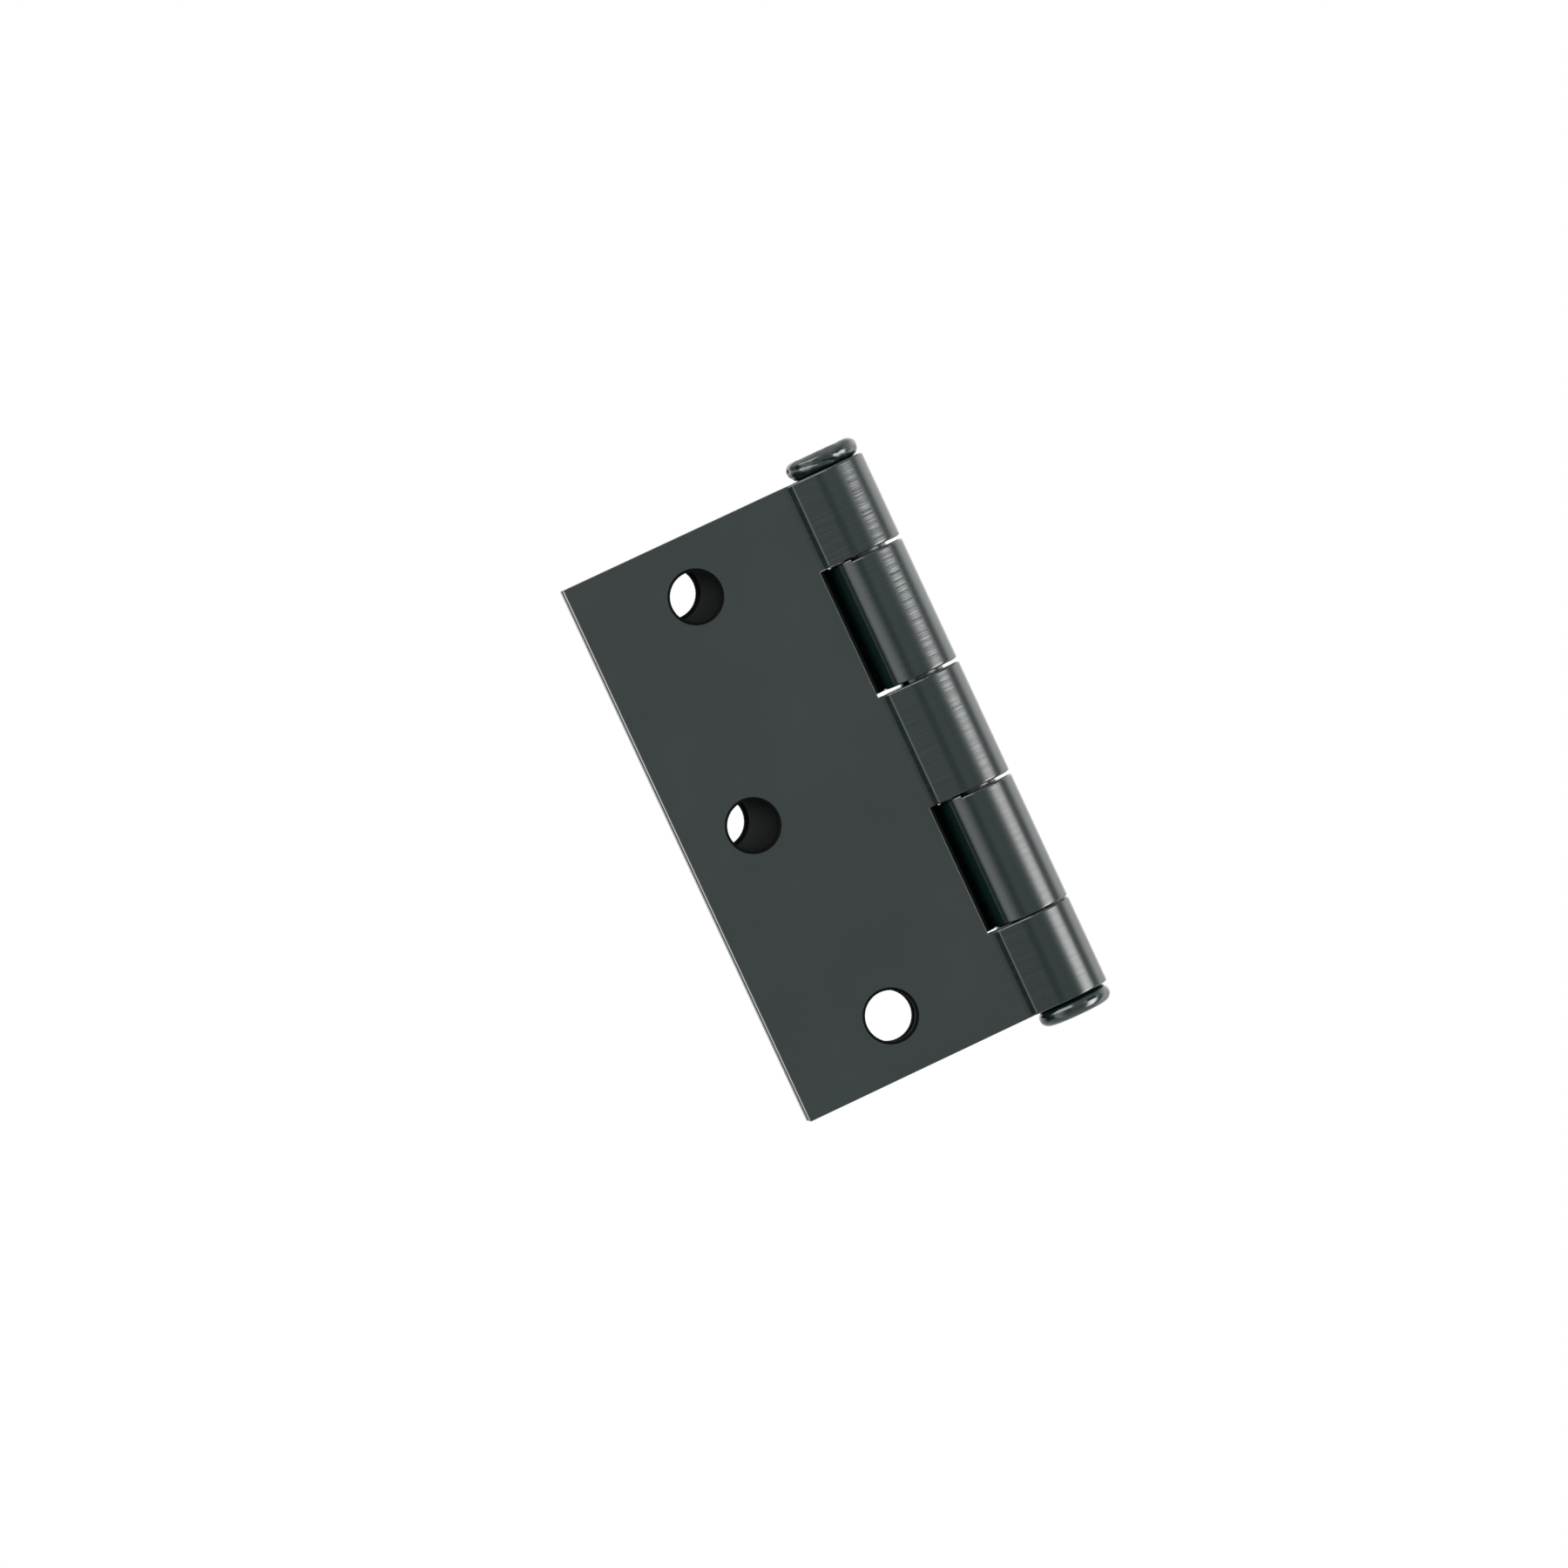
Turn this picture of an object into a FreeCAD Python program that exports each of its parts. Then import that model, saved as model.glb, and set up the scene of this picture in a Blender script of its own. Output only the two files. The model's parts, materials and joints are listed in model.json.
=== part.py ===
import FreeCAD, Part
import math
import os
import Sketcher

# Five-knuckle butt hinge with a loose pin, 3 1/2 x 3 1/2 in, drawn closed.  Millimetres.
# +Z runs along the pin toward its head, +X from the barrel to the free edges.
# The origin is the middle of the jamb leaf's flat back face, which looks along -Y.
# Every body is drawn with the pin axis on its own Z axis and mid-height at its own origin.

doc = FreeCAD.newDocument("DoorHinge")
sheet = doc.addObject("Spreadsheet::Sheet", "Dims")

DIMENSIONS = [
    ("leaf_height", "88.9", "height of both leaves, 3 1/2 in"),
    ("edge_reach", "44.45", "pin axis to the free edge, half of 3 1/2 in"),
    ("plate_thick", "2.5", "sheet the leaves are made of"),
    ("closed_gap", "1.6", "gap between the closed leaves"),
    ("pin_diameter", "7.14", "pin, 9/32 in"),
    ("pin_clearance", "0.05", "radial running clearance of the pin in the knuckles"),
    ("ramp_angle", "22", "slope of the sheet between barrel and swage step, degrees"),
    ("swage_reach", "6.95", "pin axis to the foot of the swage step"),
    ("swage_run", "0.75", "width of the swage step"),
    ("swage_round", "0.8", "rounding of the step's crest"),
    ("seam_angle", "5", "curl stops this far short of the plane between the leaves, degrees"),
    ("knuckle_gap", "0.48", "gap between neighbouring knuckles"),
    ("head_gap", "0.1", "the narrower gap next to the head end knuckle"),
    ("head_knuckle", "14.25", "length of the outer knuckle at the pin head"),
    ("foot_knuckle", "13.9", "length of the outer knuckle at the plug"),
    ("door_head_knuckle", "20.6", "length of the door leaf's upper knuckle"),
    ("door_foot_knuckle", "20.15", "length of the door leaf's lower knuckle"),
    ("notch_reach", "7.8", "pin axis to the back of the notches"),
    ("shoulder", "0.38", "how far the door leaf's plate runs past its knuckle ends"),
    ("shoulder_reach", "3", "pin axis to these shoulders"),
    ("notch_overcut", "5", "how far the notch cuts run past the leaf"),
    ("knuckle_round", "0.35", "rounding of the knuckle ends"),
    ("edge_round", "0.15", "rounding of the plate's edges on its back face"),
    ("hole_throat", "7.8", "screw hole, narrowest diameter"),
    ("hole_sink", "9", "countersink diameter at the inner face"),
    ("sink_angle", "82", "countersink angle, degrees"),
    ("hole_rim", "0.45", "chamfer of the holes at the back face"),
    ("end_hole_reach", "26.6", "pin axis to the end holes"),
    ("end_hole_inset", "9.35", "end holes to the leaf's ends"),
    ("mid_hole_reach", "33.4", "pin axis to the middle hole"),
    ("foot_hole_shift", "2.75", "door leaf's lowest hole: further toward the free edge"),
    ("foot_hole_drop", "2.05", "door leaf's lowest hole: further down"),
    ("centre_hole_shift", "3.95", "door leaf's middle hole: further toward the free edge"),
    ("centre_hole_drop", "2.55", "door leaf's middle hole: further down"),
    ("head_diameter", "11.7", "pin head"),
    ("head_height", "2.7", "pin head, height of its rounded rim"),
    ("head_lift", "0.05", "clearance under the pin head"),
    ("plug_diameter", "11.9", "button of the bottom plug"),
    ("plug_height", "2.9", "plug button, height of its rounded rim"),
    ("button_crown", "0.15", "how far both buttons rise in the middle"),
    ("plug_shank", "7.3", "plug shank, pressed into the bottom knuckle"),
    ("plug_depth", "5", "how far the plug reaches into the knuckle"),
    ("tip_gap", "1", "pin tip to plug"),
    ("tip_taper", "0.8", "taper at both shank ends"),
    ("bore_radius", "=pin_diameter / 2 + pin_clearance", "inside of the knuckles"),
    ("barrel_radius", "=bore_radius + plate_thick", "outside of the knuckles"),
    ("inner_face", "=closed_gap / 2", "middle plane to the leaf's inner face"),
    ("back_face", "=inner_face + plate_thick", "middle plane to the leaf's back face"),
    ("swage_crest", "=swage_reach - swage_run", "pin axis to the top of the swage step"),
    ("face_centre", "=(swage_reach + edge_reach) / 2", "pin axis to the middle of the flat back"),
    ("seam_drop", "=barrel_radius * sin(seam_angle * 1deg)", "middle plane to the curl's end"),
    ("half_height", "=leaf_height / 2", "half of the leaf"),
    ("jamb_head_far", "=half_height - head_knuckle", "jamb leaf's upper notch, far side"),
    ("door_head_far", "=jamb_head_far - head_gap", "door leaf's upper knuckle, far end"),
    ("door_head_near", "=door_head_far - door_head_knuckle", "its near end"),
    ("jamb_head_near", "=door_head_near - knuckle_gap", "middle knuckle's upper end"),
    ("jamb_foot_far", "=half_height - foot_knuckle", "jamb leaf's lower notch, downward"),
    ("door_foot_far", "=jamb_foot_far - knuckle_gap", "door leaf's lower knuckle, downward"),
    ("door_foot_near", "=door_foot_far - door_foot_knuckle", "its near end, downward"),
    ("jamb_foot_near", "=door_foot_near - knuckle_gap", "middle knuckle's lower end"),
    ("door_head_shoulder", "=door_head_near - shoulder", "shoulder under the upper knuckle"),
    ("door_foot_shoulder", "=door_foot_far + shoulder", "shoulder under the lower knuckle"),
    ("past_end", "=half_height + notch_overcut", "end of the notch cuts"),
    ("past_barrel", "=barrel_radius + notch_overcut", "side of the notch cuts"),
    ("end_hole_height", "=half_height - end_hole_inset", "middle of the leaf to its end holes"),
    ("foot_hole_reach", "=end_hole_reach + foot_hole_shift", "door leaf's lowest hole"),
    ("foot_hole_height", "=end_hole_height + foot_hole_drop", "door leaf's lowest hole"),
    ("centre_hole_reach", "=mid_hole_reach + centre_hole_shift", "door leaf's middle hole"),
    ("pin_radius", "=pin_diameter / 2", "pin shank"),
    ("pin_end", "=plug_depth + tip_gap - half_height", "pin tip"),
    ("head_seat", "=half_height + head_lift", "underside of the pin head"),
    ("plug_radius", "=plug_shank / 2", "plug shank"),
    ("plug_end", "=half_height - plug_depth", "plug tip, measured downward"),
]
for row, (alias, content, note) in enumerate(DIMENSIONS, start=1):
    sheet.set("A%d" % row, note)
    sheet.set("B%d" % row, content)
    sheet.setAlias("B%d" % row, alias)
doc.recompute()


def dim(alias):
    """Value of one sheet entry."""
    return float(getattr(sheet, alias))


def vec(x, y, z=0.0):
    """Vector from plain numbers."""
    return FreeCAD.Vector(x, y, z)


def new_body(label, turned):
    """Body standing on the pin axis; a turned one is rotated half a turn about X."""
    body = doc.addObject("PartDesign::Body", label)
    body.Label = label
    half_turn = FreeCAD.Rotation(vec(1, 0), 180 if turned else 0)
    body.Placement = FreeCAD.Placement(vec(0, 0), half_turn)
    body.setExpression("Placement.Base.x", "-Dims.face_centre")
    body.setExpression("Placement.Base.y", "Dims.back_face")
    return body


def new_sketch(body, name, role, lift="0"):
    """Sketch on one of the body's origin planes, moved along the plane's normal."""
    planes = [item for item in body.Origin.OriginFeatures if item.Role == role]
    sketch = body.newObject("Sketcher::SketchObject", name)
    sketch.AttachmentSupport = [(planes[0], "")]
    sketch.MapMode = "FlatFace"
    sketch.setExpression("AttachmentOffset.Base.z", lift)
    return sketch


def tie(sketch, kind, *rest):
    """Add one constraint and return its index."""
    return sketch.addConstraint(Sketcher.Constraint(kind, *rest))


def bind(sketch, index, name, formula):
    """Name a constraint and drive it from the sheet."""
    sketch.renameConstraint(index, name)
    sketch.setExpression("Constraints." + name, formula)


def locate(sketch, kind, name, alias, geometry, point, sign=1):
    """Hold a point at sign * alias along x (DistanceX) or y (DistanceY) of the sketch."""
    origin = (-1, 1)
    target = (geometry, point)
    value = sign * dim(alias)
    ends = origin + target if value >= 0 else target + origin
    index = tie(sketch, kind, *ends, abs(value))
    minus = "-" if (value >= 0) != (sign > 0) else ""
    bind(sketch, index, name, minus + "Dims." + alias)


def leaf_profile(body):
    """Section of plate, swage step, ramp and curl: the sheet rolls round from its back side."""
    sketch = new_sketch(body, body.Label + "_section", "XY_Plane")
    slope = math.radians(dim("ramp_angle"))
    seam = -math.radians(dim("seam_angle"))
    start = math.radians(270 + dim("ramp_angle"))
    outer, inner = dim("barrel_radius"), dim("bore_radius")
    back, face = -dim("back_face"), -dim("inner_face")
    reach, foot, crest = dim("edge_reach"), dim("swage_reach"), dim("swage_crest")

    def on_arc(radius, angle):
        return vec(radius * math.cos(angle), radius * math.sin(angle))

    def on_ramp(radius, x):
        touch = on_arc(radius, start)
        return vec(x, touch.y + (x - touch.x) * math.tan(slope))

    corners = [vec(reach, back), vec(foot, back), on_ramp(outer, crest), on_arc(outer, start),
               on_arc(outer, seam), on_arc(inner, seam), on_arc(inner, start),
               on_ramp(inner, crest), vec(foot, face), vec(reach, face)]
    centre, axis = vec(0, 0), vec(0, 0, 1)
    sketch.addGeometry([
        Part.LineSegment(corners[0], corners[1]),
        Part.LineSegment(corners[1], corners[2]),
        Part.LineSegment(corners[2], corners[3]),
        Part.ArcOfCircle(Part.Circle(centre, axis, outer), seam, start),
        Part.LineSegment(corners[4], corners[5]),
        Part.ArcOfCircle(Part.Circle(centre, axis, inner), seam, start),
        Part.LineSegment(corners[6], corners[7]),
        Part.LineSegment(corners[7], corners[8]),
        Part.LineSegment(corners[8], corners[9]),
        Part.LineSegment(corners[9], corners[0]),
    ])
    for first, second in [((0, 2), (1, 1)), ((1, 2), (2, 1)), ((3, 1), (4, 1)),
                          ((4, 2), (5, 1)), ((6, 2), (7, 1)), ((7, 2), (8, 1)),
                          ((8, 2), (9, 1)), ((9, 2), (0, 1))]:
        tie(sketch, "Coincident", *first, *second)
    for arc in (3, 5):
        tie(sketch, "Coincident", arc, 3, -1, 1)
    tie(sketch, "Tangent", 2, 2, 3, 2)
    tie(sketch, "Tangent", 6, 1, 5, 2)
    tie(sketch, "Horizontal", 0)
    tie(sketch, "Horizontal", 8)
    tie(sketch, "Vertical", 9)
    tie(sketch, "Parallel", 2, 6)
    tie(sketch, "PointOnObject", -1, 1, 4)
    bind(sketch, tie(sketch, "Radius", 3, outer), "outside", "Dims.barrel_radius")
    bind(sketch, tie(sketch, "Radius", 5, inner), "inside", "Dims.bore_radius")
    bind(sketch, tie(sketch, "Angle", 6, slope), "ramp", "Dims.ramp_angle * 1deg")
    locate(sketch, "DistanceX", "reach", "edge_reach", 0, 1)
    locate(sketch, "DistanceX", "back_foot", "swage_reach", 1, 1)
    locate(sketch, "DistanceX", "back_crest", "swage_crest", 2, 1)
    locate(sketch, "DistanceX", "face_crest", "swage_crest", 7, 1)
    locate(sketch, "DistanceX", "face_foot", "swage_reach", 8, 1)
    locate(sketch, "DistanceY", "back", "back_face", 0, 1, -1)
    locate(sketch, "DistanceY", "face", "inner_face", 8, 1, -1)
    locate(sketch, "DistanceY", "seam", "seam_drop", 3, 1, -1)
    return sketch


def add_rectangle(sketch, tag, reach, low, high):
    """Notch outline as deep as reach; low and high are (sign, alias) heights."""
    left, right = -dim("past_barrel"), dim(reach)
    bottom, top = low[0] * dim(low[1]), high[0] * dim(high[1])
    corners = [vec(left, bottom), vec(right, bottom), vec(right, top), vec(left, top)]
    base = sketch.GeometryCount
    for index in range(4):
        sketch.addGeometry(Part.LineSegment(corners[index], corners[(index + 1) % 4]))
    for index in range(4):
        tie(sketch, "Coincident", base + index, 2, base + (index + 1) % 4, 1)
        tie(sketch, "Horizontal" if index % 2 == 0 else "Vertical", base + index)
    locate(sketch, "DistanceX", tag + "_outside", "past_barrel", base, 1, -1)
    locate(sketch, "DistanceX", tag + "_back", reach, base + 1, 1)
    locate(sketch, "DistanceY", tag + "_low", low[1], base, 1, low[0])
    locate(sketch, "DistanceY", tag + "_high", high[1], base + 2, 1, high[0])


def edges_where(shape, test):
    """Names of the edges that pass a test."""
    return ["Edge%d" % number for number, edge in enumerate(shape.Edges, start=1) if test(edge)]


def is_circle(edge, radius):
    """True for a circular edge of this radius."""
    return isinstance(edge.Curve, Part.Circle) and abs(edge.Curve.Radius - radius) < 1e-4


def is_swage_crest(edge):
    """True for the long edge along the crest of the swage step on the back face."""
    start, end = edge.Vertexes[0].Point, edge.Vertexes[-1].Point
    upright = abs(end.z - start.z) > dim("half_height")
    return upright and abs(start.x - dim("swage_crest")) < 1e-4 and start.y < -dim("back_face")


def is_back_outline(edge):
    """True for the straight edges around the plate's flat back."""
    start, end = edge.Vertexes[0].Point, edge.Vertexes[-1].Point
    straight = abs(edge.Length - start.distanceToPoint(end)) < 1e-4 < edge.Length
    flat = abs(start.y + dim("back_face")) + abs(end.y + dim("back_face")) < 1e-4
    return straight and flat and max(start.x, end.x) > dim("notch_reach") - 1e-4


def cut_notches(body, name, reach, notches):
    """Pocket through the whole leaf for a list of (low, high) notches."""
    outline = new_sketch(body, name, "XZ_Plane", "Dims.past_barrel")
    for number, (low, high) in enumerate(notches, start=1):
        add_rectangle(outline, "notch%d" % number, reach, low, high)
    cut = body.newObject("PartDesign::Pocket", name + "_cut")
    cut.Profile = outline
    cut.setExpression("Length", "2 * Dims.past_barrel")
    doc.recompute()


def make_leaf(label, turned, notches, shoulders, holes):
    """Leaf with its knuckles; notches are (low, high) pairs, holes (reach, sign, height)."""
    body = new_body(label, turned)
    plate = body.newObject("PartDesign::Pad", label + "_sheet")
    plate.Profile = leaf_profile(body)
    plate.Midplane = True
    plate.setExpression("Length", "Dims.leaf_height")
    doc.recompute()
    swage = body.newObject("PartDesign::Fillet", label + "_swage")
    swage.Base = (plate, edges_where(plate.Shape, is_swage_crest))
    swage.setExpression("Radius", "Dims.swage_round")
    doc.recompute()

    cut_notches(body, label + "_notches", "notch_reach", notches)
    if shoulders:
        cut_notches(body, label + "_shoulders", "shoulder_reach", shoulders)

    centres = new_sketch(body, label + "_holes", "XZ_Plane", "Dims.inner_face")
    radius = dim("hole_throat") / 2
    for number, (reach, sign, height) in enumerate(holes):
        level = sign * dim(height) if height else 0.0
        circle = Part.Circle(vec(dim(reach), level), vec(0, 0, 1), radius)
        centres.addGeometry(circle)
        bind(centres, tie(centres, "Radius", number, radius), "size%d" % number,
             "Dims.hole_throat / 2")
        locate(centres, "DistanceX", "reach%d" % number, reach, number, 3)
        if height:
            locate(centres, "DistanceY", "height%d" % number, height, number, 3, sign)
        else:
            tie(centres, "PointOnObject", number, 3, -1)
    doc.recompute()
    drill = body.newObject("PartDesign::Hole", label + "_countersunk")
    drill.Profile = centres
    doc.recompute()
    drill.Reversed = True
    drill.Threaded = False
    drill.DepthType = "ThroughAll"
    drill.HoleCutType = "Countersink"
    drill.HoleCutCustomValues = True
    drill.setExpression("Diameter", "Dims.hole_throat")
    drill.setExpression("HoleCutDiameter", "Dims.hole_sink")
    drill.setExpression("HoleCutCountersinkAngle", "Dims.sink_angle * 1deg")
    doc.recompute()

    rim = body.newObject("PartDesign::Chamfer", label + "_hole_rims")
    rim.Base = (drill, edges_where(drill.Shape, lambda edge: is_circle(edge, radius)
                                   and abs(edge.Curve.Center.y + dim("back_face")) < 1e-4))
    rim.setExpression("Size", "Dims.hole_rim")
    doc.recompute()

    ends = body.newObject("PartDesign::Fillet", label + "_knuckle_ends")
    ends.Base = (rim, edges_where(rim.Shape, lambda edge: is_circle(edge, dim("barrel_radius"))
                                  and abs(edge.Curve.Axis.z) > 0.99))
    ends.setExpression("Radius", "Dims.knuckle_round")
    doc.recompute()
    edges = body.newObject("PartDesign::Fillet", label + "_back_edges")
    edges.Base = (ends, edges_where(ends.Shape, is_back_outline))
    edges.setExpression("Radius", "Dims.edge_round")
    body.Tip = edges
    doc.recompute()
    return body


def make_button(label, turned, shank, tip, seat, diameter, height):
    """Shank with a flattened button on its end, revolved about the pin axis."""
    body = new_body(label, turned)
    sketch = new_sketch(body, label + "_section", "XZ_Plane")
    taper, crown = dim("tip_taper"), dim("button_crown")
    side, low, seat_z = dim(shank), dim(tip), dim(seat)
    half = dim(height) / 2
    flat = dim(diameter) / 2 - half
    top = seat_z + 2 * half
    dome = (flat ** 2 + crown ** 2) / (2 * crown)
    dome_centre = vec(0, top + crown - dome)
    axis = vec(0, 0, 1)
    rim = Part.ArcOfCircle(Part.Circle(vec(flat, seat_z + half), axis, half),
                           -math.pi / 2, math.pi / 2)
    cap = Part.ArcOfCircle(Part.Circle(dome_centre, axis, dome),
                           math.atan2(top - dome_centre.y, flat), math.pi / 2)
    sketch.addGeometry([
        Part.LineSegment(vec(0, low), vec(side - taper, low)),
        Part.LineSegment(vec(side - taper, low), vec(side, low + taper)),
        Part.LineSegment(vec(side, low + taper), vec(side, seat_z)),
        Part.LineSegment(vec(side, seat_z), vec(flat, seat_z)),
        rim,
        cap,
        Part.LineSegment(vec(0, top + crown), vec(0, low)),
    ])
    for index in range(7):
        tie(sketch, "Coincident", index, 2, (index + 1) % 7, 1)
    tie(sketch, "Horizontal", 0)
    tie(sketch, "Horizontal", 3)
    tie(sketch, "Vertical", 2)
    tie(sketch, "Vertical", 4, 1, 4, 2)
    tie(sketch, "Vertical", 4, 1, 4, 3)
    tie(sketch, "PointOnObject", 6, 1, -2)
    tie(sketch, "PointOnObject", 6, 2, -2)
    tie(sketch, "PointOnObject", 5, 3, -2)
    bind(sketch, tie(sketch, "Radius", 4, half), "rim", "Dims.%s / 2" % height)
    bind(sketch, tie(sketch, "DistanceX", -1, 1, 4, 3, flat), "flat",
         "(Dims.%s - Dims.%s) / 2" % (diameter, height))
    bind(sketch, tie(sketch, "DistanceY", 4, 2, 5, 2, crown), "crown", "Dims.button_crown")
    bind(sketch, tie(sketch, "DistanceX", 1, 1, 1, 2, taper), "taper", "Dims.tip_taper")
    bind(sketch, tie(sketch, "DistanceY", 1, 1, 1, 2, taper), "taper_rise", "Dims.tip_taper")
    locate(sketch, "DistanceX", "side", shank, 2, 1)
    locate(sketch, "DistanceY", "tip", tip, 0, 2)
    locate(sketch, "DistanceY", "seat", seat, 2, 2)
    turn = body.newObject("PartDesign::Revolution", label + "_turned")
    turn.Profile = sketch
    turn.ReferenceAxis = (sketch, ["V_Axis"])
    turn.Angle = 360
    body.Tip = turn
    doc.recompute()
    return body


JAMB_NOTCHES = [((1, "jamb_head_near"), (1, "jamb_head_far")),
                ((-1, "jamb_foot_far"), (-1, "jamb_foot_near"))]
JAMB_HOLES = [("end_hole_reach", 1, "end_hole_height"),
              ("mid_hole_reach", 1, ""),
              ("end_hole_reach", -1, "end_hole_height")]
# The door leaf is drawn upside down, so its heights are measured downward.
DOOR_NOTCHES = [((1, "door_foot_shoulder"), (1, "past_end")),
                ((-1, "door_head_shoulder"), (1, "door_foot_near")),
                ((-1, "past_end"), (-1, "door_head_far"))]
DOOR_SHOULDERS = [((1, "door_foot_far"), (1, "past_end")),
                  ((-1, "door_head_near"), (1, "door_foot_near"))]
DOOR_HOLES = [("foot_hole_reach", 1, "foot_hole_height"),
              ("centre_hole_reach", 1, "centre_hole_drop"),
              ("end_hole_reach", -1, "end_hole_height")]

pieces = [
    make_leaf("jamb_leaf", False, JAMB_NOTCHES, [], JAMB_HOLES),
    make_leaf("door_leaf", True, DOOR_NOTCHES, DOOR_SHOULDERS, DOOR_HOLES),
    make_button("hinge_pin", False, "pin_radius", "pin_end", "head_seat",
                "head_diameter", "head_height"),
    make_button("barrel_plug", True, "plug_radius", "plug_end", "half_height",
                "plug_diameter", "plug_height"),
]

os.makedirs("parts", exist_ok=True)
for item in doc.Objects:
    if "Invalid" in item.State or "Error" in item.State:
        raise RuntimeError(item.Label + " did not compute")
for body in pieces:
    if body.Shape.isNull() or not body.Shape.isValid():
        raise RuntimeError(body.Label + " has no valid shape")
    body.Shape.exportStep("parts/%s.step" % body.Label)
    box = body.Shape.BoundBox
    print("%s volume %.1f  x %.2f..%.2f  y %.2f..%.2f  z %.2f..%.2f" % (
        body.Label, body.Shape.Volume, box.XMin, box.XMax, box.YMin, box.YMax,
        box.ZMin, box.ZMax))
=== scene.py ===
import json
import math

import bmesh
import bpy
from mathutils import Matrix, Vector, noise


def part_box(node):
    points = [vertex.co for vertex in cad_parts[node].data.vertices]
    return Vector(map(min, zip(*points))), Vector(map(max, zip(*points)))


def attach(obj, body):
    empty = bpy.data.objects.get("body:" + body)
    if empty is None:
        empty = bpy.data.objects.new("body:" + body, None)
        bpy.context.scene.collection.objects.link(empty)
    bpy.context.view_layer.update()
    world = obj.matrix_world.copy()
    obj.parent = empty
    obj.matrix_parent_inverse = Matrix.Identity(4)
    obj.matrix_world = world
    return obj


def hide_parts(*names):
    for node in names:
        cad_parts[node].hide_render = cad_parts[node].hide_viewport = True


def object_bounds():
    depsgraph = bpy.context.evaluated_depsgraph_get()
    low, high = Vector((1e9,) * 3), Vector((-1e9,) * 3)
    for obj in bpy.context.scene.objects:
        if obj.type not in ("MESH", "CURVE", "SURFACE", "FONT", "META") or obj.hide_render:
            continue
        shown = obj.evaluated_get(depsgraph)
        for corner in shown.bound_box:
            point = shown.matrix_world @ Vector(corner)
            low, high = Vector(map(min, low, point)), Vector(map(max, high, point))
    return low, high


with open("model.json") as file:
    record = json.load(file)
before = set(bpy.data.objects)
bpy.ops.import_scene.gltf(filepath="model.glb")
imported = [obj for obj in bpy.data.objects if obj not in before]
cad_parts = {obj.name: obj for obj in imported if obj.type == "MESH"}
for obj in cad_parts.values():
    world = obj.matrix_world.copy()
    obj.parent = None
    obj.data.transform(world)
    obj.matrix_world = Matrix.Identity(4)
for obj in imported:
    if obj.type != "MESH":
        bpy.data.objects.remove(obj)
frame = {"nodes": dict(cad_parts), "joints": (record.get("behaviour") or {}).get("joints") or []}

MM = 0.001
WHITE = (1.0, 1.0, 1.0, 1.0)
nodes = frame["nodes"]
cad_low, cad_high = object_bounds()
scene = bpy.context.scene

# ---------------------------------------------------------------- hinge layout, in metres
swing = next(joint for joint in frame["joints"] if joint["name"] == "leaf_swing")
PIN_X, PIN_Y = swing["pos_m"][0], swing["pos_m"][1]
leaf_low, leaf_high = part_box("jamb_leaf")
BARREL_R = PIN_X - leaf_low.x
EDGE_REACH = leaf_high.x - PIN_X        # pin axis to the free edges
END_LEVEL = leaf_high.z                 # middle to the leaves' ends
SWAGE_REACH = 6.95 * MM                 # pin axis to the foot of the swage step
NOTCH_REACH = 7.8 * MM                  # pin axis to the back of the notches
HALF_GAP = 0.8 * MM                     # pin axis to each leaf's inner face


# ---------------------------------------------------------------- node helpers
def new_material(name):
    """Empty node material with its Principled shader."""
    material = bpy.data.materials.new(name)
    material.use_nodes = True
    tree = material.node_tree
    tree.nodes.clear()
    output = tree.nodes.new("ShaderNodeOutputMaterial")
    shader = tree.nodes.new("ShaderNodeBsdfPrincipled")
    tree.links.new(shader.outputs[0], output.inputs["Surface"])
    return material, tree, shader


def add(tree, kind, inputs=(), **settings):
    """Node with its settings; inputs are (socket, value or other socket) pairs."""
    node = tree.nodes.new(kind)
    for key, value in settings.items():
        setattr(node, key, value)
    for socket, value in inputs:
        if isinstance(value, bpy.types.NodeSocket):
            tree.links.new(value, node.inputs[socket])
        else:
            node.inputs[socket].default_value = value
    return node


def math_node(tree, operation, *values):
    """One Math node's output."""
    return add(tree, "ShaderNodeMath", enumerate(values), operation=operation).outputs[0]


def remap(tree, value, low, high, to_low, to_high):
    """Value carried from one range to another, with smooth ends."""
    node = add(tree, "ShaderNodeMapRange",
               [("Value", value), ("From Min", low), ("From Max", high),
                ("To Min", to_low), ("To Max", to_high)], interpolation_type="SMOOTHSTEP")
    return node.outputs["Result"]


def between(tree, value, low, high, blur):
    """1 where value lies between low and high, 0 outside."""
    rise = remap(tree, value, low - blur, low, 0.0, 1.0)
    fall = remap(tree, value, high, high + blur, 1.0, 0.0)
    return math_node(tree, "MULTIPLY", rise, fall)


def mix_values(tree, factor, first, second):
    """Blend of two numbers: the first at factor 0, the second at 1."""
    node = add(tree, "ShaderNodeMix", [(0, factor), (2, first), (3, second)],
               data_type="FLOAT")
    return node.outputs[0]


def mix_colors(tree, factor, first, second):
    """Blend of two colours: the first at factor 0, the second at 1."""
    node = add(tree, "ShaderNodeMix", [(0, factor), (6, first), (7, second)],
               data_type="RGBA")
    return node.outputs[2]


def stretched_noise(tree, position, stretch, scale, detail, roughness):
    """Noise of the object's own position, stretched differently along each axis."""
    scaled = add(tree, "ShaderNodeVectorMath", [(0, position), (1, stretch)],
                 operation="MULTIPLY")
    cloud = add(tree, "ShaderNodeTexNoise",
                [("Vector", scaled.outputs[0]), ("Scale", scale), ("Detail", detail),
                 ("Roughness", roughness)])
    return cloud.outputs["Fac"]


def split(tree, vector):
    """The three components of a vector."""
    parts = add(tree, "ShaderNodeSeparateXYZ", [(0, vector)])
    return [parts.outputs[axis] for axis in "XYZ"]


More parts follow.
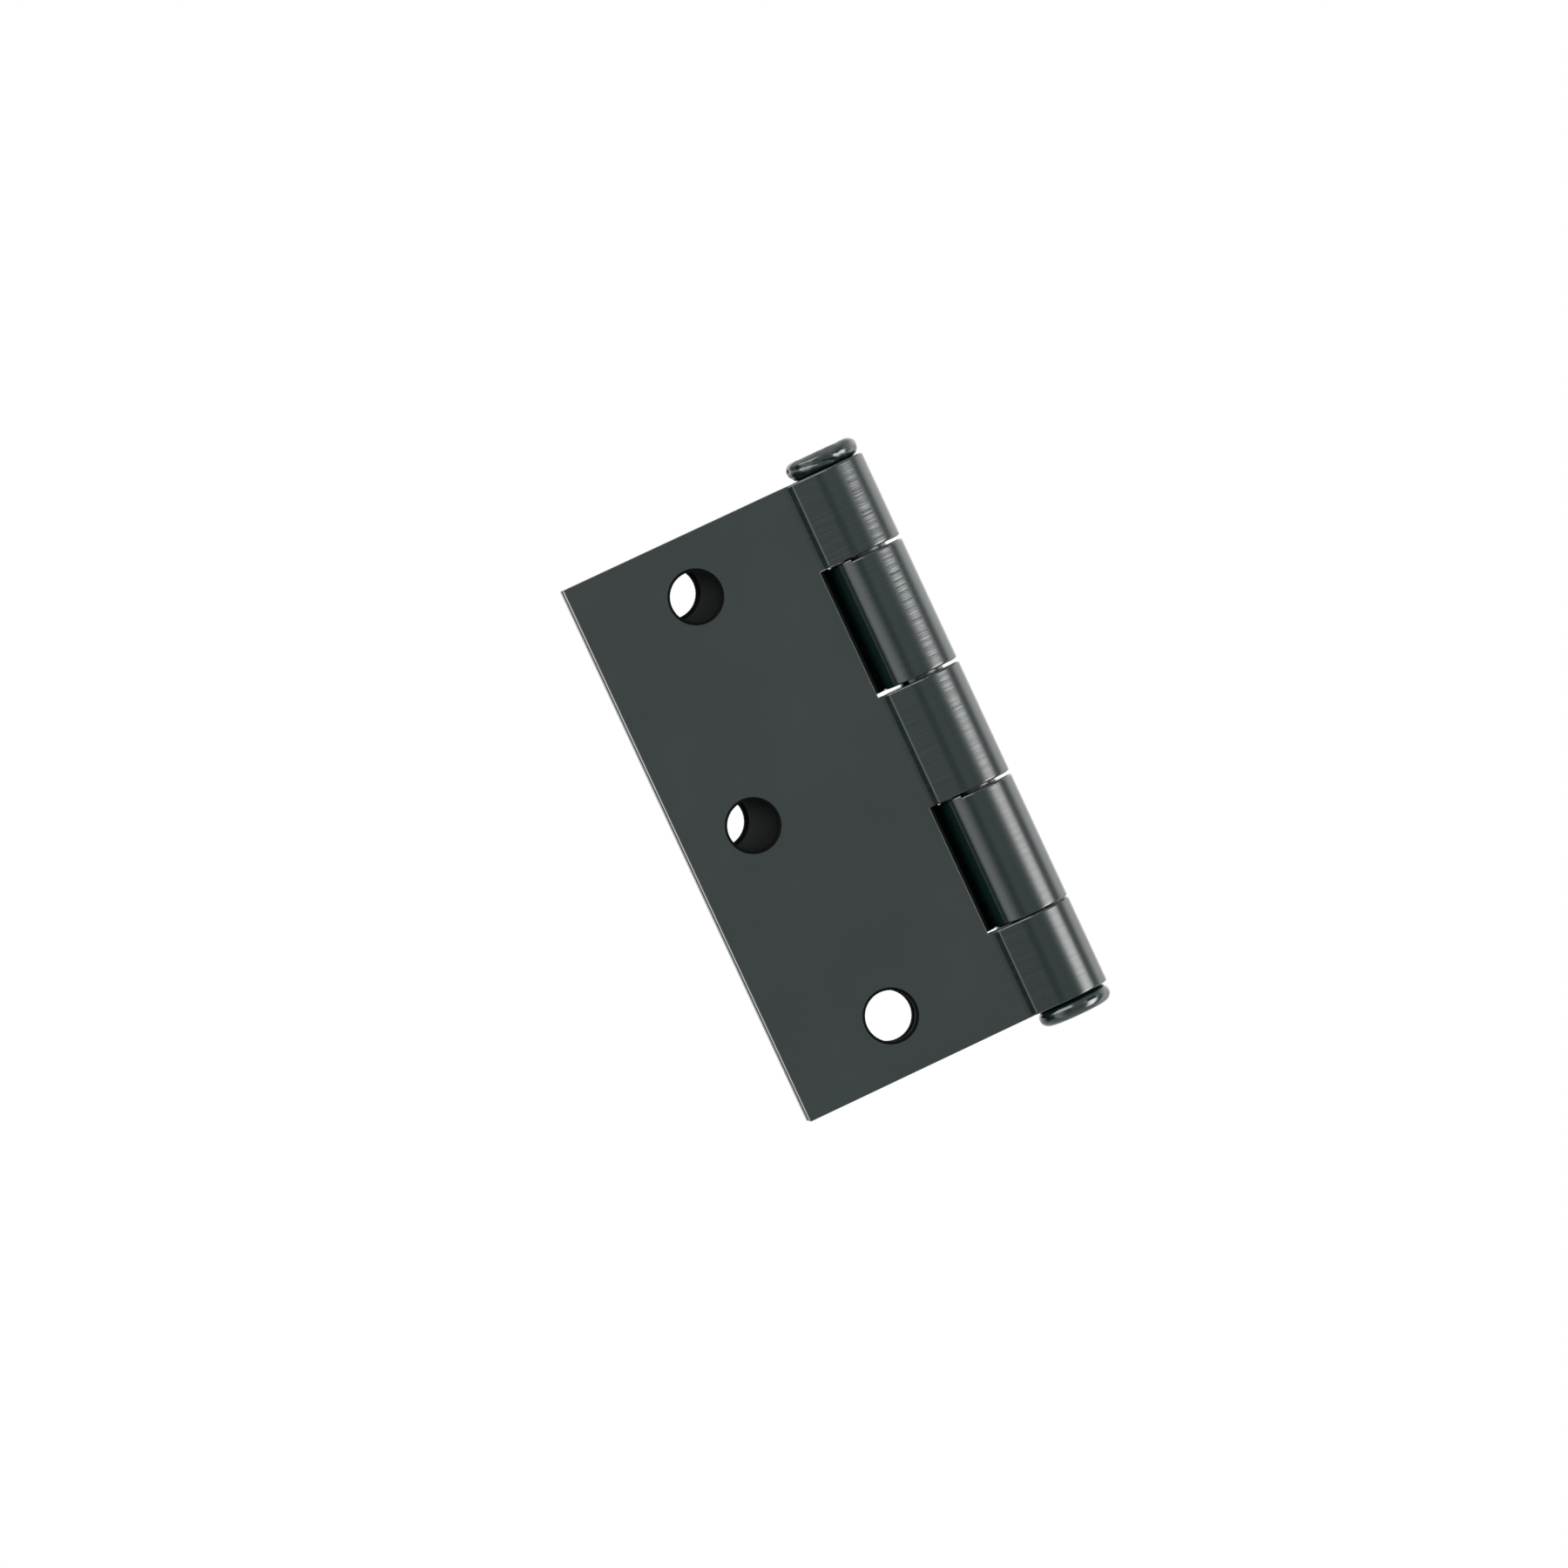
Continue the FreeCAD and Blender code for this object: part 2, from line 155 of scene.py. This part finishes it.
# ---------------------------------------------------------------- materials
LACQUER_DARK = (0.0018, 0.0058, 0.0057, 1.0)
LACQUER_PALE = (0.0034, 0.0082, 0.0080, 1.0)
RECESS_PAINTED_SHADE = (0.0006, 0.0012, 0.0012, 1.0)    # painted shade: near black in the holes and between the leaves
LACQUER_IOR = 1.52

EVEN = (1, 1, 1)                # stretch of a noise that is the same in every direction
STROKES = (45, 45, 1300)        # stretch of the brush lines, which run round the barrel
HAIRS = (300, 300, 5000)        # stretch of the finest brush lines
CLOUD_SCALE, SPECK_SCALE = 60.0, 5200.0
HAIR_SHARE = 0.15               # share of the finest lines in the grooves
LINE_SHARE = 0.3                # share of the grooves in the lacquer's tone
SPECK_SHARE = 0.12              # height of the specks beside the brush lines
TONE_SPAN = (0.25, 0.75)        # noise that makes the darkest and the palest lacquer
LEAF_RELIEF = 0.045 * MM        # height of the brush lines

BRUSH_END = (-0.2 * MM, 0.8 * MM)       # where they fade out, from the swage step's foot
BRUSH_SPAN = 25 * MM            # their strength changes this far above and below the middle
BRUSH_AT_PLUG, BRUSH_AT_HEAD = 0.9, 0.2

NOTCH_MARGIN, EDGE_MARGIN, END_MARGIN = 0.5 * MM, 0.6 * MM, 0.65 * MM   # without holes
FLATNESS = (0.78, 0.96)         # |normal y|: at most a hole's wall, at least a plate's face
MASK_BLUR = 0.1 * MM
GAP_BLUR = 0.25 * MM
INNER_START = 0.3 * MM          # the painted shade and dull roughness on the inner faces fade in over this distance beyond the barrel
INNER_SHADE = 0.6               # strength of the painted shade and dull roughness on the inner faces; the hole walls get the full amount

PLAIN_ROUGHNESS, PLAIN_VARIATION = 0.25, 0.06   # on the plates
BRUSHED_ROUGHNESS, BRUSHED_VARIATION = 0.05, 0.16       # on the barrel
RAMP_ROUGHNESS = 0.14           # added on the ramps
RAMP_START = (2.3 * MM, 3.0 * MM)       # where they start, from the pin axis
RAMP_SLANT = (0.30, 0.45)       # |normal x| on them
SLANT_BLUR = 0.03
DULL_ROUGHNESS = 0.75           # in the holes and between the leaves
# The lower specular level is painted shade in the holes and between the leaves.
SPECULAR, SHADED_SPECULAR = 0.5, 0.04

BUTTON_SPECKS = 6.0             # how much finer the buttons' specks are than their patches
BUTTON_SPECK_SHARE = 0.3
BUTTON_TONE_SPAN = (0.35, 0.65)
BUTTON_ROUGH_SPAN = (0.3, 0.7)
BUTTON_BUMP = 0.6


def hole_walls(tree, x, z, flatness):
    """1 on the walls of the screw holes: steep faces well inside the plate's outline."""
    along = between(tree, x, PIN_X + NOTCH_REACH + NOTCH_MARGIN,
                    PIN_X + EDGE_REACH - EDGE_MARGIN, MASK_BLUR)
    end = END_LEVEL - END_MARGIN
    inside = math_node(tree, "MULTIPLY", along, remap(
        tree, math_node(tree, "ABSOLUTE", z), end, end + MASK_BLUR, 1.0, 0.0))
    return math_node(tree, "MULTIPLY", inside, remap(tree, flatness, *FLATNESS, 1.0, 0.0))


def inner_faces(tree, x, y):
    """1 between the two closed leaves, clear of the barrel."""
    start = PIN_X + BARREL_R
    return math_node(tree, "MULTIPLY",
                     remap(tree, x, start, start + INNER_START, 0.0, 1.0),
                     between(tree, y, PIN_Y - HALF_GAP, PIN_Y + HALF_GAP, GAP_BLUR))


def leaf_roughness(tree, x, slant, clouds, grooves, brushed, recess_shade):
    """Satin plates, glossier grooved barrel, rougher ramps, dull recesses."""
    plain = math_node(tree, "MULTIPLY_ADD", clouds, PLAIN_VARIATION, PLAIN_ROUGHNESS)
    worked = math_node(tree, "MULTIPLY_ADD", grooves, BRUSHED_VARIATION, BRUSHED_ROUGHNESS)
    start, full = RAMP_START
    beside = math_node(tree, "MULTIPLY", brushed, remap(
        tree, x, PIN_X + start, PIN_X + full, 0.0, RAMP_ROUGHNESS))
    ramp = math_node(tree, "MULTIPLY", beside, between(tree, slant, *RAMP_SLANT, SLANT_BLUR))
    outside = mix_values(tree, brushed, plain, math_node(tree, "ADD", worked, ramp))
    return mix_values(tree, recess_shade, outside, DULL_ROUGHNESS)


def leaf_material():
    """Dark lacquer: satin plates, brushed barrel and ramp; rougher inner faces and hole walls,
    which also carry painted shade: near-black colour and a lowered specular level.
    """
    material, tree, shader = new_material("satin_black_leaf_finish")
    coordinates = add(tree, "ShaderNodeTexCoord")
    place = coordinates.outputs["Object"]
    x, y, z = split(tree, place)
    normal_x, normal_y = split(tree, coordinates.outputs["Normal"])[:2]
    brush_start, brush_stop = (PIN_X + SWAGE_REACH + end for end in BRUSH_END)
    brushed = remap(tree, x, brush_start, brush_stop, 1.0, 0.0)
    # Mask of the painted shade: the hole walls and the inner faces between the leaves.
    walls = hole_walls(tree, x, z, math_node(tree, "ABSOLUTE", normal_y))
    shaded = math_node(tree, "MULTIPLY", inner_faces(tree, x, y), INNER_SHADE)
    recess_shade = math_node(tree, "MAXIMUM", walls, shaded)

    clouds = stretched_noise(tree, place, EVEN, CLOUD_SCALE, 4.0, 0.6)
    strokes = stretched_noise(tree, place, STROKES, 1.0, 2.0, 0.5)
    hairs = stretched_noise(tree, place, HAIRS, 1.0, 2.0, 0.5)
    specks = stretched_noise(tree, place, EVEN, SPECK_SCALE, 2.0, 0.5)
    grooves = mix_values(tree, HAIR_SHARE, strokes, hairs)
    strength = math_node(tree, "MULTIPLY", brushed, remap(
        tree, z, -BRUSH_SPAN, BRUSH_SPAN, BRUSH_AT_PLUG, BRUSH_AT_HEAD))
    lines = math_node(tree, "MULTIPLY", grooves, strength)

    tone = remap(tree, mix_values(tree, LINE_SHARE, clouds, lines), *TONE_SPAN, 0.0, 1.0)
    lacquer = mix_colors(tree, tone, LACQUER_DARK, LACQUER_PALE)
    roughness = leaf_roughness(tree, x, math_node(tree, "ABSOLUTE", normal_x), clouds,
                               grooves, brushed, recess_shade)
    height = math_node(tree, "MULTIPLY_ADD", specks, SPECK_SHARE, lines)
    bump = add(tree, "ShaderNodeBump", [("Strength", 1.0), ("Distance", LEAF_RELIEF),
                                        ("Height", height)])
    # Painted shade: the holes and the faces between the leaves are darkened toward near black
    # and their specular level is lowered.
    tree.links.new(mix_colors(tree, recess_shade, lacquer, RECESS_PAINTED_SHADE),
                   shader.inputs["Base Color"])
    tree.links.new(roughness, shader.inputs["Roughness"])
    tree.links.new(remap(tree, recess_shade, 0.0, 1.0, SPECULAR, SHADED_SPECULAR),
                   shader.inputs["Specular IOR Level"])
    tree.links.new(bump.outputs[0], shader.inputs["Normal"])
    shader.inputs["IOR"].default_value = LACQUER_IOR
    return material


def button_material(name, rough_low, rough_high, grain, relief):
    """Glossy dark plating, uneven in patches; a larger grain number makes smaller patches."""
    material, tree, shader = new_material(name)
    place = add(tree, "ShaderNodeTexCoord").outputs["Object"]
    clouds = stretched_noise(tree, place, EVEN, grain, 4.0, 0.6)
    specks = stretched_noise(tree, place, EVEN, grain * BUTTON_SPECKS, 3.0, 0.6)
    tone = remap(tree, clouds, *BUTTON_TONE_SPAN, 0.0, 1.0)
    height = mix_values(tree, BUTTON_SPECK_SHARE, clouds, specks)
    bump = add(tree, "ShaderNodeBump", [("Strength", BUTTON_BUMP), ("Distance", relief),
                                        ("Height", height)])
    tree.links.new(mix_colors(tree, tone, LACQUER_DARK, LACQUER_PALE),
                   shader.inputs["Base Color"])
    tree.links.new(remap(tree, clouds, *BUTTON_ROUGH_SPAN, rough_low, rough_high),
                   shader.inputs["Roughness"])
    tree.links.new(bump.outputs[0], shader.inputs["Normal"])
    shader.inputs["IOR"].default_value = LACQUER_IOR
    return material


def clothe(piece, material):
    """One material in the piece's first slot."""
    if not piece.data.materials:
        piece.data.materials.append(material)
    piece.material_slots[0].material = material


leaf_finish_and_shade = leaf_material()
pin_finish = button_material("polished_black_pin_finish", 0.08, 0.12, 300.0, 0.01 * MM)
plug_finish = button_material("mottled_black_plug_finish", 0.10, 0.30, 900.0, 0.04 * MM)
clothe(nodes["jamb_leaf"], leaf_finish_and_shade)
clothe(nodes["door_leaf"], leaf_finish_and_shade)
clothe(nodes["hinge_pin"], pin_finish)


# ---------------------------------------------------------------- lumpy plug
PLUG_SHANK_R = 3.65 * MM
PLUG_CHAMFER = 0.8 * MM
PLUG_SIDES = 128
TOUCHING = 0.001 * MM           # points no lower than this under the barrel's end stay put
RIM_STEPS = 22                  # points round the button's rim
FLAT_RINGS = 8                  # rings across the button's flat face

# Lumps: how many per millimetre, where in the noise, and how deep in millimetres.
LUMPS = [(0.30, Vector((3.1, 0.7, 9.2)), 0.20),
         (0.80, Vector((1.3, 4.2, 0.4)), 0.20),
         (2.20, Vector((0.0, 0.0, 0.0)), 0.05)]
LUMP_FADE = 0.5 * MM            # the lumps fade out this close to the barrel's end
LUMP_SQUASH = 1.6               # they are pushed in more along the pin than across it
# Away from the leaves they grow shallower, over a run in millimetres from the pin axis.
SHALLOW_FROM, SHALLOW_RUN = -6.0, 3.0
SHALLOWEST = 0.2                # share of their depth that is left there

# The fold across the button's front; its lengths are in millimetres.
FOLD_DROP = 0.95                # below the barrel's end, in line with the pin axis
FOLD_SLOPE = 0.17
FOLD_START = -2.0               # from the pin axis toward the leaves
FOLD_RUN = 1.5                  # distance over which it grows to its full depth
FOLD_DEPTH = 0.32
FOLD_WIDTH = 0.34


def plug_outline(radius, bottom, seat, top):
    """Half section as (radius, height) points, from the shank's end to the button's face."""
    outline = [(0.0, top), (PLUG_SHANK_R - PLUG_CHAMFER, top),
               (PLUG_SHANK_R, top - PLUG_CHAMFER), (PLUG_SHANK_R, seat)]
    half = (seat - bottom) / 2
    for step in range(RIM_STEPS + 1):
        turn = math.pi * step / RIM_STEPS
        outline.append((radius - half * (1 - math.sin(turn)),
                        seat - half * (1 - math.cos(turn))))
    flat = outline[-1][0]
    outline += [(flat * ring / FLAT_RINGS, bottom) for ring in range(FLAT_RINGS - 1, 0, -1)]
    return outline + [(0.0, bottom)]


def revolve(outline):
    """Closed mesh turned about the pin axis; the outline starts and ends on the axis."""
    mesh = bmesh.new()
    rings = []
    for r, z in outline:
        if r == 0.0:
            rings.append([mesh.verts.new((PIN_X, PIN_Y, z))] * PLUG_SIDES)
            continue
        ring = []
        for side in range(PLUG_SIDES):
            angle = 2 * math.pi * side / PLUG_SIDES
            ring.append(mesh.verts.new((PIN_X + r * math.cos(angle),
                                        PIN_Y + r * math.sin(angle), z)))
        rings.append(ring)
    for upper, lower in zip(rings, rings[1:]):
        for side in range(PLUG_SIDES):
            after = (side + 1) % PLUG_SIDES
            corners = (upper[side], lower[side], lower[after], upper[after])
            mesh.faces.new(list(dict.fromkeys(corners)))    # three at the axis, else four
    bmesh.ops.recalc_face_normals(mesh, faces=mesh.faces)
    return mesh


def lump_depth(place, seat):
    """How far a point of the button is pushed in, in metres."""
    spot = place * 1000.0       # in millimetres
    depth = sum(size * (0.5 + 0.5 * noise.noise(spot * scale + shift))
                for scale, shift, size in LUMPS)
    side = (place.x - PIN_X) / MM
    fullness = min(1.0, max(SHALLOWEST, (side - SHALLOW_FROM) / SHALLOW_RUN))
    inward = depth * fullness * MM
    if place.y < PIN_Y and side > FOLD_START:
        off_fold = (place.z - seat) / MM + FOLD_DROP + FOLD_SLOPE * side
        run = min(1.0, (side - FOLD_START) / FOLD_RUN)
        inward += FOLD_DEPTH * MM * run * math.exp(-(off_fold / FOLD_WIDTH) ** 2)
    return inward


def build_plug():
    """Peened button with its shank: a revolved outline whose button is pushed in by lumps."""
    low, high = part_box("barrel_plug")
    seat = leaf_low.z
    mesh = revolve(plug_outline((high.x - low.x) / 2, low.z, seat, high.z))
    heart = Vector((PIN_X, PIN_Y, (seat + low.z) / 2))
    for vert in mesh.verts:
        if vert.co.z > seat - TOUCHING:
            continue
        away = vert.co - heart
        outward = Vector((away.x, away.y, LUMP_SQUASH * away.z)).normalized()
        fade = min(1.0, (seat - vert.co.z) / LUMP_FADE)
        vert.co -= outward * lump_depth(vert.co, seat) * fade
        vert.co.z = min(vert.co.z, seat)
    for face in mesh.faces:
        face.smooth = True
    data = bpy.data.meshes.new("barrel_plug_cast")
    mesh.to_mesh(data)
    mesh.free()
    cast = bpy.data.objects.new("barrel_plug_cast", data)
    scene.collection.objects.link(cast)
    clothe(cast, plug_finish)
    return cast


plug = build_plug()
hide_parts("barrel_plug")
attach(plug, "jamb_side")


# ---------------------------------------------------------------- studio
# Brightness of the surroundings by compass direction, in degrees from -Y toward +X.
SURROUND = [
    (-180, 1.2), (-132, 1.6), (-118, 2.4), (-106, 2.6), (-98, 2.0),
    (-90, 1.0), (-80, 0.9), (-73, 2.2), (-66, 5.4), (-60, 7.1), (-52, 7.9),
    (-46, 7.4), (-40, 5.8), (-34, 3.6), (-28, 1.9), (-22, 1.2), (-16, 0.86),
    (-8, 0.77), (4, 0.84), (18, 0.86), (28, 0.5), (34, 0.5), (40, 0.7),
    (46, 1.1), (54, 1.8), (64, 2.4), (76, 2.3), (82, 0.8), (86, 0.03),
    (116, 0.03), (126, 0.9),
]
PEAK = 8.0                      # brightness that a ramp colour of 1 stands for
# Heights below are those of a direction's z: 0 is level, 1 straight up.
OVERHEAD, OVERHEAD_RISE = 1.1, (0.60, 0.92)     # brightness above, and where it sets in
UNDERFOOT, UNDERFOOT_DROP = 1.0, (0.22, 0.65)   # brightness below, and where it sets in
MAIN_SLOPE = 9.0                # how the main light brightens with height
PLAIN_SLOPE = -1.8              # how the rest of the room darkens with height
MAIN_LEVELS = (1.5, 5.0)        # brightness from which a direction counts as the main light
EYE_LEVEL = 0.04                # height at which the surroundings have the table's brightness
SLOPE_BAND = 0.12               # the slopes act this far above and below it
STEEP_LEVEL, STEEP_RISE = 0.9, (0.20, 0.55)     # least brightness away from level
LOW_LIGHT = 7.0                 # a second soft light, low on the right
LOW_LIGHT_SPAN = (0.4, 1.6)     # compass directions it covers, in radians
LOW_LIGHT_RISE = (-0.72, -0.42)
LOW_LIGHT_SIDES, LOW_LIGHT_EDGES = 0.25, 0.08   # its blur along the compass and in height

FLOOR_RADIUS = 0.30
FLOOR_DROP = 0.32               # below the hinge
FLOOR_COLOR = (0.93, 0.93, 0.93, 1.0)
FLOOR_ROUGHNESS = 0.9
CAMERA_PLACE = Vector((0.13511, -1.29332, -0.05094))
CAMERA_AIM = Vector((0.000755, 0.0, -0.003718))
CAMERA_ROLL = math.radians(155.044)
CAMERA_LENS, CAMERA_SENSOR = 196.82, 36.0       # millimetres
CAMERA_CLIP = (0.01, 20.0)


def compass_light(tree, compass):
    """Brightness of the surroundings at eye level."""
    around = math_node(tree, "MULTIPLY_ADD", compass, 1 / (2 * math.pi), 0.5)
    ramp = add(tree, "ShaderNodeValToRGB", [("Fac", around)])
    stops = ramp.color_ramp.elements
    stops[0].position = 0.0
    stops[1].position = 1.0
    for degrees, level in SURROUND[1:]:
        stops.new(degrees / 360 + 0.5)
    levels = [level for degrees, level in SURROUND] + [SURROUND[0][1]]
    for stop, level in zip(stops, levels):
        stop.color = (level / PEAK,) * 3 + (1.0,)
    return math_node(tree, "MULTIPLY", ramp.outputs["Color"], PEAK)


def build_world():
    """Studio seen in reflections; the camera itself sees plain white."""
    world = bpy.data.worlds.new("studio")
    scene.world = world
    world.use_nodes = True
    tree = world.node_tree
    tree.nodes.clear()
    x, y, z = split(tree, add(tree, "ShaderNodeTexCoord").outputs["Generated"])
    compass = math_node(tree, "ARCTAN2", x, math_node(tree, "MULTIPLY", y, -1.0))

    wall = compass_light(tree, compass)
    slope = remap(tree, wall, *MAIN_LEVELS, PLAIN_SLOPE, MAIN_SLOPE)
    above = math_node(tree, "SUBTRACT", z, EYE_LEVEL)
    near = math_node(tree, "MAXIMUM", math_node(tree, "MINIMUM", above, SLOPE_BAND),
                     -SLOPE_BAND)
    tilt = math_node(tree, "MULTIPLY_ADD", near, slope, 1.0)
    steep = remap(tree, math_node(tree, "ABSOLUTE", z), *STEEP_RISE, 0.0, STEEP_LEVEL)
    sky = math_node(tree, "MAXIMUM", math_node(tree, "MULTIPLY", wall, tilt), steep)
    sky = mix_values(tree, remap(tree, z, *OVERHEAD_RISE, 0.0, 1.0), sky, OVERHEAD)
    below = math_node(tree, "MULTIPLY", z, -1.0)
    sky = mix_values(tree, remap(tree, below, *UNDERFOOT_DROP, 0.0, 1.0), sky, UNDERFOOT)
    low_light = math_node(tree, "MULTIPLY",
                          between(tree, compass, *LOW_LIGHT_SPAN, LOW_LIGHT_SIDES),
                          between(tree, z, *LOW_LIGHT_RISE, LOW_LIGHT_EDGES))
    sky = math_node(tree, "MULTIPLY_ADD", low_light, LOW_LIGHT, sky)

    light = add(tree, "ShaderNodeBackground", [("Color", WHITE), ("Strength", sky)])
    white = add(tree, "ShaderNodeBackground", [("Color", WHITE), ("Strength", 1.0)])
    path = add(tree, "ShaderNodeLightPath")
    choose = add(tree, "ShaderNodeMixShader",
                 [(0, path.outputs["Is Camera Ray"]), (1, light.outputs[0]),
                  (2, white.outputs[0])])
    add(tree, "ShaderNodeOutputWorld", [("Surface", choose.outputs[0])])


def build_floor():
    """Pale round floor some way below the hinge."""
    mesh = bmesh.new()
    bmesh.ops.create_circle(mesh, cap_ends=True, segments=96, radius=FLOOR_RADIUS)
    data = bpy.data.meshes.new("floor")
    mesh.to_mesh(data)
    mesh.free()
    floor = bpy.data.objects.new("floor", data)
    floor.location = (0.0, 0.0, cad_low.z - FLOOR_DROP)
    scene.collection.objects.link(floor)
    material, tree, shader = new_material("floor_white")
    shader.inputs["Base Color"].default_value = FLOOR_COLOR
    shader.inputs["Roughness"].default_value = FLOOR_ROUGHNESS
    clothe(floor, material)


def build_camera():
    """Camera nearly face on, rolled so that the pin head points to the lower right."""
    data = bpy.data.cameras.new("camera")
    data.lens = CAMERA_LENS
    data.sensor_width = CAMERA_SENSOR
    data.clip_start, data.clip_end = CAMERA_CLIP
    camera = bpy.data.objects.new("camera", data)
    level = (CAMERA_AIM - CAMERA_PLACE).to_track_quat("-Z", "Y").to_matrix()
    camera.matrix_world = Matrix.Translation(CAMERA_PLACE) @ (
        level @ Matrix.Rotation(CAMERA_ROLL, 3, "Z")).to_4x4()
    scene.collection.objects.link(camera)
    scene.camera = camera


build_world()
build_floor()
build_camera()
scene.view_settings.view_transform = "Standard"
